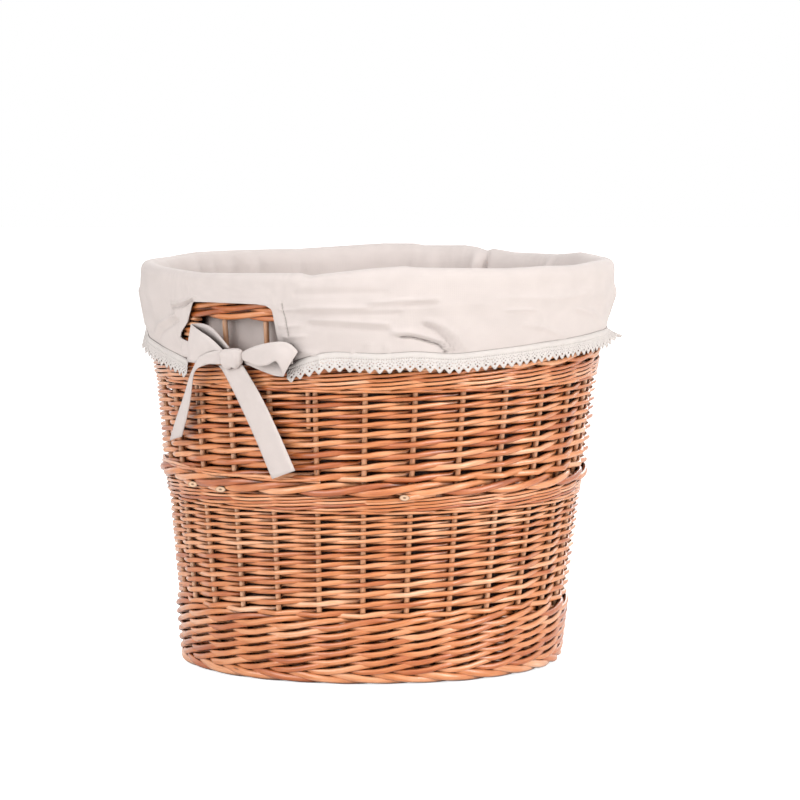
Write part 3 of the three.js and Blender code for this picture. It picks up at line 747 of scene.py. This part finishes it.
# one half turn of the cloth's lower edge: columns to the next point, angle at the crest, angle, z, and how late
# the columns bend to their angle
notchEdge = [
    (14, -50.0, -48.9, 369.6, 1), (22, -44.0, -42.5, 370.4, 1), (8, -29.8, -28.6, 370.6, 1),
    (5, -26.6, -26.3, 369.4, 1), (12, -24.6, -24.9, 365.6, 1), (14, -21.6, -23.9, 340.0, 1),
    (6, -18.6, -21.9, 311.0, 1), (10, -15.6, -17.8, 317.5, 1), (14, -10.0, -11.0, 324.5, 1),
    (10, 2.0, 2.0, 322.6, 1), (10, 9.0, 9.0, 324.9, 1), (24, 19.0, 19.0, 321.6, 1),
    (20, 45.0, 45.0, 329.0, 1), (20, 66.0, 66.0, 332.8, 1), (10, 90.0, 90.0, 335.0, 1),
    (8, 99.0, 99.0, 328.6, 1), (6, 112.0, 112.0, 320.4, 1), (6, 118.0, 118.4, 316.9, 1),
    (6, 120.4, 123.6, 313.1, 2), (7, 121.6, 127.2, 310.4, 6), (7, 122.4, 127.6, 318.0, 9),
    (6, 123.0, 127.4, 326.0, 18), (5, 123.5, 126.2, 329.8, 26), (5, 124.1, 124.7, 332.4, 2),
    (7, 125.2, 124.9, 337.6, 1), (8, 127.2, 128.2, 349.4, 1), (6, 128.6, 129.3, 357.6, 1),
    (6, 129.4, 131.0, 367.6, 1),
]
columns = [0]
for count, *_ in notchEdge:
    columns.append(columns[-1] + count)
halfColumns = columns[-1]
knots = np.array([row[1:] for row in notchEdge])
knots = np.concatenate([knots, knots + [180, 180, 0, 0], knots[:1] + [360, 360, 0, 0]])
places = np.concatenate([np.array(columns[:-1]), np.array(columns[:-1]) + halfColumns, [2 * halfColumns]])
columnCount = 2 * halfColumns
crestAngle, hemAngle, hemZ, bendLate = (
    np.interp(np.arange(columnCount), places, knots[:, k]) for k in range(4))


def loopSmooth(values, turn, times):
    # each value becomes a quarter, a half and a quarter of itself and its neighbours, round the loop
    for _ in range(times):
        before, after = np.roll(values, 1), np.roll(values, -1)
        before[0] -= turn
        after[-1] += turn
        values = (before + 2 * values + after) / 4
    return values


crestAngle = loopSmooth(crestAngle, 360, 6)
hemAngle = loopSmooth(hemAngle, 360, 1)
hemZ = loopSmooth(hemZ, 0, 1)


def angleGap(angle, other):
    return (angle - other + 180) % 360 - 180


def crestHeight(angle):
    return np.interp((np.asarray(angle) + 180) % 360 - 180, *zip(*crestLine), period=360)


# soft folds of the cuff: a line of angle and z points, its half width and how far it stands out
folds = [
    ([(-22.5, 373.5), (-22.2, 365.8), (-21.5, 353.4), (-20.9, 339.9)], 1.0, -0.9),
    ([(4.5, 345.5), (8.6, 345.3), (12.3, 341.6), (15.6, 336.6), (17.6, 329.0)], 2.6, 3.4),
    ([(5.8, 341.3), (8.6, 341.2), (12.3, 337.2), (15.4, 333.1), (17.1, 326.3)], 1.3, -3.4),
    ([(12.5, 356.5), (16.0, 350.5), (18.8, 341.0), (20.8, 330.0)], 2.8, 3.2),
    ([(11.5, 352.0), (14.5, 347.0), (16.6, 339.0), (18.8, 328.1)], 2.4, -2.4),
    ([(-18.3, 325.7), (-15.5, 325.0), (-12.1, 320.4)], 1.7, 2.0),
    ([(-17.9, 388.0), (-8.4, 389.6), (-0.3, 389.8)], 2.4, 2.2),
    ([(-19.0, 381.0), (-9.0, 383.0), (2.0, 383.5)], 2.4, -1.9),
    ([(-1.5, 374.4), (5.3, 376.3), (13.6, 377.4)], 1.9, 2.5),
    ([(-1.5, 368.8), (5.3, 370.3), (13.6, 372.6)], 2.0, -2.2),
    ([(-15.3, 357.6), (-8.5, 356.6), (2.3, 353.8)], 2.2, 2.4),
    ([(-15.3, 351.6), (-8.5, 350.2), (2.3, 347.0)], 2.2, -1.9),
    ([(32.0, 364.6), (40.0, 363.6)], 1.5, 1.6),
    ([(42.4, 361.0), (43.0, 348.0), (43.2, 335.0)], 2.0, 1.7),
    ([(-6.0, 331.0), (-5.4, 325.0)], 1.2, 1.6),
    ([(-1.6, 333.5), (-1.2, 326.0)], 1.2, 1.7),
    ([(2.4, 334.0), (3.2, 325.5)], 1.3, 1.8),
    ([(-17.8, 368.2), (-6.0, 368.9), (5.5, 368.9)], 2.4, 1.9),
    ([(-17.8, 362.2), (-6.0, 362.9), (5.5, 362.9)], 2.4, -1.4),
    ([(-22.8, 365.8), (-17.9, 366.3)], 1.6, 1.6),
    ([(-23.1, 350.3), (-18.0, 351.3)], 1.6, 1.6),
    ([(-22.2, 339.7), (-17.1, 340.7)], 1.6, 1.4),
    ([(-72.3, 332.1), (-66.8, 342.5), (-56.6, 354.9)], 1.9, 2.5),
    ([(-70.3, 327.1), (-64.8, 337.5), (-55.6, 349.9)], 2.0, -2.0),
    ([(-48.1, 374.8), (-51.6, 369.0), (-57.8, 365.7)], 1.4, 2.3),
    ([(-48.9, 371.0), (-52.5, 365.0), (-58.0, 361.5)], 1.4, -2.0),
    ([(38.0, 350.0), (46.0, 344.0), (52.0, 334.0)], 2.9, 1.9),
    ([(30.0, 377.0), (48.0, 374.0), (62.0, 376.0)], 3.2, 1.7),
    ([(56.0, 362.0), (66.0, 354.0), (72.0, 342.0)], 3.2, 2.0),
    ([(84.0, 372.0), (90.0, 356.0), (96.0, 340.0)], 3.6, 2.5),
    ([(-90.0, 372.0), (-84.0, 355.0), (-80.0, 338.0)], 3.6, 2.2),
]


def foldField(angle, z):
    # each fold is a bell curve of the distance to its line
    total = np.zeros(np.broadcast(angle, z).shape)
    for half in (0, 180):
        for line, width, height in folds:
            nearest = np.full(total.shape, 1e9)
            for (a0, z0), (a1, z1) in zip(line[:-1], line[1:]):
                dx, dz = (a1 - a0) * liner["arcPerDegree"], z1 - z0
                px, pz = angleGap(angle, a0 + half) * liner["arcPerDegree"], z - z0
                t = np.clip((px * dx + pz * dz) / (dx * dx + dz * dz), 0, 1)
                nearest = np.minimum(nearest, (px - t * dx) ** 2 + (pz - t * dz) ** 2)
            total += height * np.exp(-nearest / width**2)
    return total


ripples = [(rng.integers(5, 34), rng.uniform(0.02, 0.11) * rng.choice([-1, 1]), rng.uniform(0, 6.28),
            rng.uniform(0.5, 1.0)) for _ in range(14)]


def rumple(angle, z, size):
    # slow waves that run round and up the cloth
    total = np.zeros(np.broadcast(angle, z).shape)
    for turns, rate, phase, share in ripples:
        total += share * np.sin(turns * np.radians(angle) + rate * z + phase)
    return size * total / 2.6


def cuffRelief(angle, z):
    # folds and rumples that fade out over the rim
    return (foldField(angle, z) + rumple(angle, z, liner["rumple"])) * np.clip((400 - z) / 30, 0, 1)


def cuffRadius(angle, z):
    return np.interp(z, cuffZ, cuffR) + cuffRelief(angle, z)


# inside the rim: angle of each upright fold, half width in degrees, how far it stands in
insideFolds = [
    (-98.6, 2.2, 4.0), (-118.2, 2.0, 4.5), (-126.5, 1.6, 3.5), (-134.3, 2.2, 4.0), (-143.6, 1.8, 4.5),
    (-157.3, 0.7, 3.0), (-166, 4.0, 2.0), (171.5, 0.4, -2.4), (166.0, 2.2, 2.0), (151.8, 1.5, 7.0),
    (148.9, 0.7, -5.5), (125.1, 1.2, 5.0), (106.4, 1.4, 4.0), (138.0, 3.0, 2.5), (70, 3.0, 3.5), (40, 2.5, 4.0),
    (15, 3.0, 3.0), (-12, 2.5, 4.0), (-35, 3.0, 3.0), (-60, 2.5, 4.0), (-80, 2.5, 3.5), (90, 2.0, 3.0),
]


def plainInside(z):
    # a plain cone from the floor up to the rim
    rise = liner["topZ"] - liner["floorZ"]
    return liner["footRadius"] + (z - liner["floorZ"]) * (liner["topRadius"] - liner["footRadius"]) / rise


def insideRadius(angle, z):
    # the cone, less the folds that stand in, which fade out towards the floor
    near = np.clip((z - 60) / 260, 0, 1)
    inward = sum(depth * np.exp(-((angleGap(angle, at) / width) ** 2)) for at, width, depth in insideFolds)
    return plainInside(z) - inward * near - (0.9 + rumple(angle, z * 0.5, 0.8)) * near


# the section over the rim
rimR = np.array([237.1, 237.2, 236.2, 233.4, 228.8, 224.0, 219.6, 216.6, 214.8])
rimZ = np.array([388.0, 394.5, 400.5, 404.6, 406.2, 405.0, 400.8, 394.0, 386.0])
hemShare = np.linspace(1, 0, liner["cuffRows"])[:, None] ** 0.92
cuffAngles = crestAngle + (hemAngle - crestAngle) * hemShare**bendLate
cuffHeights = liner["rimFoot"] + (hemZ - liner["rimFoot"]) * hemShare
cuffPoints = polar(cuffRadius(cuffAngles, cuffHeights), cuffAngles, cuffHeights)

rimAngles = np.broadcast_to(crestAngle, (liner["rimRows"], columnCount))
scale = (crestHeight(rimAngles) - liner["rimFoot"]) / (rimZ.max() - liner["rimFoot"])
rimRow = smoothRows(np.stack([rimR, rimZ], axis=1), liner["rimRows"] + 1)[1:]
rimHeights = liner["rimFoot"] + (rimRow[:, 1:2] - liner["rimFoot"]) * scale
outShare = np.clip(1 - np.linspace(0, 1.6, len(rimRow)), 0, 1)[:, None]
inShare = np.clip(np.linspace(-1.2, 1, len(rimRow)), 0, 1)[:, None]
outer = cuffRelief(rimAngles, rimHeights)
inner = insideRadius(rimAngles, rimHeights) - plainInside(rimHeights)
rimPoints = polar(rimRow[:, 0:1] + outer * outShare + inner * inShare, rimAngles, rimHeights)

wallHeights = np.linspace(rimRow[-1, 1], liner["floorZ"], liner["wallRows"] + 1)[1:, None] + 0.0 * crestAngle
blendDown = np.linspace(1, 0, liner["wallRows"] + 1)[1:, None] ** 3
wallHeights = wallHeights + (rimHeights[-1:] - rimRow[-1, 1]) * blendDown
wallAngles = np.broadcast_to(crestAngle, wallHeights.shape)
wallPoints = polar(insideRadius(wallAngles, wallHeights), wallAngles, wallHeights)

clothPoints = np.concatenate([cuffPoints, rimPoints, wallPoints])
rowStep = np.linalg.norm(np.diff(clothPoints, axis=0), axis=-1).mean(axis=1) * mm
v = np.concatenate([[0], np.cumsum(rowStep)])
u = np.linspace(0, liner["rimLength"], columnCount + 1)
clothUv = pairUp(u[None, :], v[:, None])
clothPart = gridArrays(clothPoints, clothUv, closed=True)
# towards the liner's floor the shade rises to 2, which leaves the corner without painted shade
clothPart["shade"] = 1 + smoothStep(48, 30, clothPart["points"][:, 2])
linerCloth = addCotton("liner_cloth", [clothPart], ["liner_wall", "liner_turnover", "liner_cuff"],
                       liner["thickness"])

# the floor of the liner, a disc with faint waves
discRadius = np.linspace(0.5, 174.6, 26)[:, None]
discAngle = np.linspace(-180, 180, 181)[None, :-1]
discZ = liner["floorZ"] + 0.5 + 0.35 * np.sin(discRadius / 17 + 3 * np.radians(discAngle))
discPoints = polar(discRadius, discAngle, discZ)
discUv = np.concatenate([discPoints, discPoints[:, :1]], axis=1)[..., :2] * mm
floorPart = gridArrays(discPoints, discUv, closed=True, flip=True)
# the liner's floor takes no painted shade
floorPart["shade"] = np.full(len(floorPart["points"]), 2.0)
linerFloor = addCotton("liner_floor_cloth", [floorPart], ["liner_floor"], liner["thickness"])

# lace

print("lace")

lace = {"pitch": 9.6, "drop": 17.0, "lap": 2.0, "thickness": 0.7, "tiles": 62, "ends": (6, 19),
        "flareAngle": 96}


def laceTile():
    # one scallop as a flat net of triangles: its edge, a loose grid, and holes in a fan
    pitch, half = lace["pitch"], lace["pitch"] / 2
    right = [(0.0, -12.6), (1.0, -13.4), (2.1, -14.6), (3.1, -15.9), (4.0, -16.8), (half, -17.0)]
    left = [(pitch - x, z) for x, z in right[::-1][1:]]
    edge = right + left
    grid = [(x, z) for z in (-9.0, -6.4, -1.4, lace["lap"]) for x in np.linspace(0, pitch, 7)]
    holes = [(half, -12.0, 1.0), (half - 2.3, -9.9, 0.5), (half + 2.3, -9.9, 0.5), (half, -8.2, 0.55),
             (half - 3.4, -7.3, 0.42), (half + 3.4, -7.3, 0.42), (half - 1.6, -6.2, 0.36),
             (half + 1.6, -6.2, 0.36)]
    holes += [(pitch * (k + 0.5) / 4, -3.9, 0.34) for k in range(4)]
    points = edge + [p for p in grid if all(math.hypot(p[0] - x, p[1] - z) > r + 0.35 for x, z, r in holes)]
    edges = [(i, i + 1) for i in range(len(edge) - 1)]
    for x, z, r in holes:
        start = len(points)
        points += [(x + r * math.cos(t), z + r * math.sin(t)) for t in np.linspace(0, 2 * math.pi, 9)[:-1]]
        edges += [(start + k, start + (k + 1) % 8) for k in range(8)]
    made = geometry.delaunay_2d_cdt([Vector(p) for p in points], edges, [], 0, 1e-4)
    flat = np.array([tuple(p) for p in made[0]])
    faces = np.array([tuple(f) for f in made[2]])
    middle = flat[faces].mean(axis=1)
    keep = np.ones(len(faces), bool)
    for x, z, r in holes:
        keep &= np.hypot(middle[:, 0] - x, middle[:, 1] - z) > r * 0.92
    edgeX, edgeZ = zip(*edge)
    keep &= middle[:, 1] > np.interp(middle[:, 0], edgeX, edgeZ)
    return flat, faces[keep]


hemKnots = np.array([row[2:4] for row in notchEdge[lace["ends"][0] : lace["ends"][1] + 1]])
tilePoints, tileFaces = laceTile()


def addLace(name, half, cover, flareOut):
    # tiles side by side along the hem, waving a little and flaring out near the right end
    fromAngle, toAngle = hemKnots[0, 0] + 0.2, hemKnots[-1, 0] - 0.2
    stretch = (toAngle - fromAngle) / (lace["tiles"] * lace["pitch"])
    tile = np.arange(lace["tiles"])[:, None]
    across = tilePoints[None, :, 0] + tile * lace["pitch"]
    depth = tilePoints[None, :, 1] + 0.0 * across
    angle = fromAngle + across * stretch
    line = np.mean([np.interp(angle + shift, *hemKnots.T) for shift in (-2, -1, 0, 1, 2)], axis=0)
    z = line + depth
    share = np.clip(-depth / lace["drop"], 0, 1)
    past = angle - lace["flareAngle"]
    flare = flareOut * (np.exp(-((past / 9.0) ** 2)) + 0.3 * np.exp(-(((past + 10) / 3.0) ** 2)))
    wave = 0.9 * np.sin(np.radians(angle) * 23 + 1.0) + 0.6 * np.sin(np.radians(angle) * 61)
    z = z + flare * share * 0.55
    radius = cuffRadius(angle + half, line) + 1.0 + share * (wave + flare + 0.4)
    points = polar(radius, angle + half, z).reshape(-1, 3)
    faces = (tileFaces[None] + (tile * len(tilePoints))[..., None]).reshape(-1, 3)
    flatUv = np.stack([across, depth], axis=-1).reshape(-1, 2) * mm
    # doubles on the seams between tiles become one point
    key = np.round(np.stack([across.ravel(), depth.ravel()], axis=1), 3)
    _, firsts, same = np.unique(key, axis=0, return_index=True, return_inverse=True)
    points, flatUv, faces = points[firsts], flatUv[firsts], same.ravel()[faces]
    part = {"points": points, "quads": faces, "uv": flatUv[faces.ravel()]}
    piece = addCotton(name, [part], [cover], lace["thickness"], laceCotton)


addLace("lace_front", 0, "lace_trim_front", 17.0)
addLace("lace_back", 180, "lace_trim_back", 4.0)

# ties

print("ties")

tie = {"radius": 231.3, "knotZ": 317.0, "centre": -35.3, "thickness": 1.0, "width": 0.026,
       "cambers": (1.0, 0.8, 0.5)}
bowKnot = {"halfWide": 13.2, "halfHigh": 9.6, "out": 7.5, "halfDeep": 6.2}


def bowPoints(x, z, out, half):
    # x to the right of the knot along the wall, z above it, and out from the wall
    angle = tie["centre"] + half + np.degrees(x / tie["radius"])
    return polar(tie["radius"] + out + wall["flare"] * z, angle, tie["knotZ"] + z)


def strip(rows, half, camber, count=48):
    # a ribbon between its two edges, given by rows of upper x, z, out and lower x, z, out
    rows = smoothRows(rows, count)
    w = np.linspace(0, 1, 9)[None, :, None]
    line = rows[:, None, :3] * (1 - w) + rows[:, None, 3:] * w
    bow = camber * (1 - (2 * w[..., 0] - 1) ** 2)
    ripple = 0.35 * np.sin(np.linspace(0, 9, count))[:, None] * np.sin(w[..., 0] * 9)
    points = bowPoints(line[..., 0], line[..., 1], line[..., 2] + bow + ripple, half)
    step = np.linalg.norm(np.diff(points[:, 4], axis=0), axis=-1) * mm
    u = np.concatenate([[0], np.cumsum(step)])
    uv = pairUp(u[:, None], w[0, :, 0][None, :] * tie["width"])
    return gridArrays(points, uv), u[-1]


leftLoop = [(-8, 8, 8, -8, -4, 8), (-19.9, 19.3, 11, -25, -5, 11.5), (-34, 26, 10.5, -40, -5.4, 12),
            (-46.9, 30.8, 7.5, -55.4, -5.2, 9), (-49.6, 31.6, 4.5, -57.6, -4.2, 5),
            (-37.7, 32.2, 2.4, -42, 1, 2.5), (-24.3, 27.4, 2, -28, 3, 2), (-5, 10.3, 2.5, -8, -4, 2.5)]
rightLoop = [(10, 6, 7, 10, 0.5, 7), (21.7, 11.3, 11, 22, -2.5, 11), (34.2, 15.6, 13, 31, -4.8, 14),
             (46, 18.4, 13.5, 42.7, -3.4, 15.5), (57, 19.4, 12, 51.2, 0.5, 15.5),
             (64.5, 16.6, 10, 54.8, -6.8, 12.5), (70.1, 9.3, 7, 55.4, -13.8, 9),
             (60, 9, 3.5, 53.2, -14.8, 4.5), (40, 6, 2.8, 40.3, -12.9, 3), (10, 4, 3, 11.2, -3, 3)]
leftTail = [(-10, 8.8, 9, -11, -5, 9), (-17, 7, 12.5, -17, -5, 12.5), (-25.1, 4.2, 14, -23.5, -5.4, 14),
            (-34.8, -0.2, 13.5, -36.5, -10, 13.5), (-43.7, -8.1, 11, -44.5, -15.7, 12),
            (-57, -20.3, 7, -51.8, -26.1, 9), (-73.2, -40.2, 4, -60.7, -43.5, 6), (-95, -65, 2.6, -74, -63, 3),
            (-116, -88, 2.0, -88, -81.5, 2.0)]
rightTail = [(-19.9, -6.9, 2.5, 11, -5, 5), (-11.5, -15, 4, 17.5, -14, 5.5), (2.7, -39.8, 4, 31.4, -38.4, 4.4),
             (20.5, -76.5, 3, 47.5, -72, 3), (37, -115, 2, 62.5, -106, 2)]
leftStrap = [(-76, 16, 1, -75, -2, 1), (-56, 12, 1, -56, -3, 1), (-30, 8, 1.4, -30, -5, 1.4),
             (-8, 5, 1.8, -8, -5, 1.8)]
rightStrap = [(8, 5, 1.5, 8, -6, 1.5), (28, 10, 1, 28, -6, 1), (44, 14, 0, 44, -4, 0), (62, 16, -1, 62, -3, -1)]


def addTie(name, rowsOfStrips, half, cover):
    # the loop, the tail and the strap to the notch's edge, each with its camber
    made = [strip(rows, half, camber) for rows, camber in zip(rowsOfStrips, tie["cambers"])]
    piece = addCotton(name, [part for part, _ in made], [cover], tie["thickness"])


def addKnot(name, half, cover):
    # a rounded block: powers of the sine and cosine below 1 square it off, and waves gather its lower half
    height = np.linspace(-1, 1, 33)[:, None] * np.pi / 2
    turn = np.linspace(0, 2 * np.pi, 49)[None, :-1]
    level = np.sin(height)
    full = np.cos(height) ** 0.45
    side = np.sign(np.cos(turn)) * np.abs(np.cos(turn)) ** 0.55
    x = (bowKnot["halfWide"] + 1.2 * level) * side * full + 0.8 * level
    front = np.sign(np.sin(turn)) * np.abs(np.sin(turn)) ** 0.7
    gather = 0.6 * np.sin(x * 1.3 + 0.6 * level) * (1 - level) * 0.5
    gather = gather + 0.5 * np.sin(level * 7 + side * 2.0) * side**2
    out = bowKnot["out"] + (bowKnot["halfDeep"] - 1.6 * side**2) * front * full + gather * (front > 0) * full
    z = 0.7 + bowKnot["halfHigh"] * level + 0.6 * side + 0.9 * np.sin(x * 0.62 + 1.2) * (level < 0) * level**2
    points = bowPoints(x, z, out, half)
    uv = pairUp(np.linspace(0, 0.06, 49)[None, :], np.linspace(0, 0.02, 33)[:, None])
    piece = addCotton(name, [gridArrays(points, uv, closed=True, flip=True)], [cover])


# running stitches down the seam beside each notch
seam = np.array(folds[0][0])
seamZ = np.arange(372.0, 341.0, -3.2)
stitches = []
for half in (0, 180):
    ends = seamZ[:, None] - np.linspace(0.0, 2.2, 5)[None, :]
    angles = np.interp(ends, seam[::-1, 1], seam[::-1, 0])
    path = polar(cuffRadius(angles + half, ends) + 0.9 * np.sin(np.linspace(0, np.pi, 5)), angles + half, ends)
    across = tangential(-21.7 + half, path.shape)
    stitches.append(rodArrays(path, 0.32, 0.3, across, np.full(len(path), 0.5), sides=6))
addCotton("hem_stitches", stitches, material=thread)

for half, place in ((0, "front"), (180, "back")):
    addTie(f"left_ribbon_{place}", [leftLoop, leftTail, leftStrap], half, f"left_tie_{place}")
    addTie(f"right_ribbon_{place}", [rightLoop, rightTail, rightStrap], half, f"right_tie_{place}")
    addKnot(f"tied_knot_{place}", half, f"bow_knot_{place}")

# floor, light and camera

print("floor, light and camera")

floorMaterial, tree, shader = newMaterial("white studio floor")
setSockets(shader, {"Base Color": toLinear("#F4F3F1"), "Roughness": 0.9})
rays = addNode(tree, "ShaderNodeLightPath").outputs
spot = addNode(tree, "ShaderNodeNewGeometry").outputs["Position"]
distance = addNode(tree, "ShaderNodeVectorMath", links={0: spot}, operation="LENGTH").outputs["Value"]
far = remap(tree, distance, 0.5, 3.0, 0.82, 1.0, smooth=True)
# no glow under the foot
outside = remap(tree, distance, 0.13, 0.18, smooth=True)
strength = calc(tree, "MULTIPLY", calc(tree, "MULTIPLY", rays["Is Camera Ray"], far), outside)
glow = addNode(tree, "ShaderNodeEmission", {"Color": (1, 1, 1, 1)}, {"Strength": strength})
both = addNode(tree, "ShaderNodeAddShader")
tree.links.new(shader.outputs["BSDF"], both.inputs[0])
tree.links.new(glow.outputs["Emission"], both.inputs[1])
tree.links.new(both.outputs["Shader"], tree.nodes["Material Output"].inputs["Surface"])
floorMesh = bpy.data.meshes.new("studio_floor")
reach = 9.0
corners = [(-reach, -reach, 0), (reach, -reach, 0), (reach, reach, 0), (-reach, reach, 0)]
floorMesh.from_pydata(corners, [], [(0, 1, 2, 3)])
floorMesh.materials.append(floorMaterial)
studioFloor = bpy.data.objects.new("studio_floor", floorMesh)
bpy.context.scene.collection.objects.link(studioFloor)

world = bpy.data.worlds.new("white studio")
world.use_nodes = True
bpy.context.scene.world = world
tree = world.node_tree
rays = addNode(tree, "ShaderNodeLightPath").outputs
seen = calc(tree, "MAXIMUM", calc(tree, "MAXIMUM", rays["Is Camera Ray"], rays["Is Glossy Ray"]),
            rays["Is Transmission Ray"])
background = tree.nodes["Background"]
setSockets(background, {"Color": (1, 1, 1, 1)})
ambient = 0.32
strength = calc(tree, "ADD", calc(tree, "MULTIPLY", seen, 1 - ambient), ambient)
tree.links.new(strength, background.inputs["Strength"])


# place and target in metres, size in metres, power in watts
lamps = {
    "right softbox": [(2.6, -1.65, 1.3), (0, 0, 0.24), (1.3, 2.5), 70, "#FFFDFB"],
    "left softbox": [(-2.0, -2.2, 1.5), (0, 0, 0.28), (2.2, 2.4), 60, "#FFFEFE"],
    "back softbox": [(0.5, 2.9, 1.7), (0, 0, 0.24), (2.4, 1.8), 46, "#FFFFFF"],
    "top softbox": [(0.1, -0.6, 2.6), (0, 0, 0.2), (1.8, 1.8), 20, "#FFFFFF"],
}
for name, (place, target, size, power, hexColour) in lamps.items():
    lamp = bpy.data.lights.new(name, "AREA")
    lamp.shape = "RECTANGLE"
    lamp.size, lamp.size_y = size
    lamp.energy = power
    lamp.color = toLinear(hexColour)[:3]
    holder = bpy.data.objects.new(name, lamp)
    holder.location = place
    holder.rotation_euler = (Vector(target) - Vector(place)).to_track_quat("-Z", "Y").to_euler()
    bpy.context.scene.collection.objects.link(holder)

# fitted to the rim's and the foot's ellipses in the photo
photoCamera = {"lens": 192.5, "place": (0.022, -4.2817, 0.63918), "downward": 0.0882080195}
cameraData = bpy.data.cameras.new("photo camera")
cameraData.lens = photoCamera["lens"]
cameraData.sensor_width = 36
cameraData.clip_end = 60
camera = bpy.data.objects.new("photo camera", cameraData)
camera.location = photoCamera["place"]
camera.rotation_euler = (math.pi / 2 - photoCamera["downward"], 0, 0)
bpy.context.scene.collection.objects.link(camera)
bpy.context.scene.camera = camera
bpy.context.scene.view_settings.view_transform = "Standard"
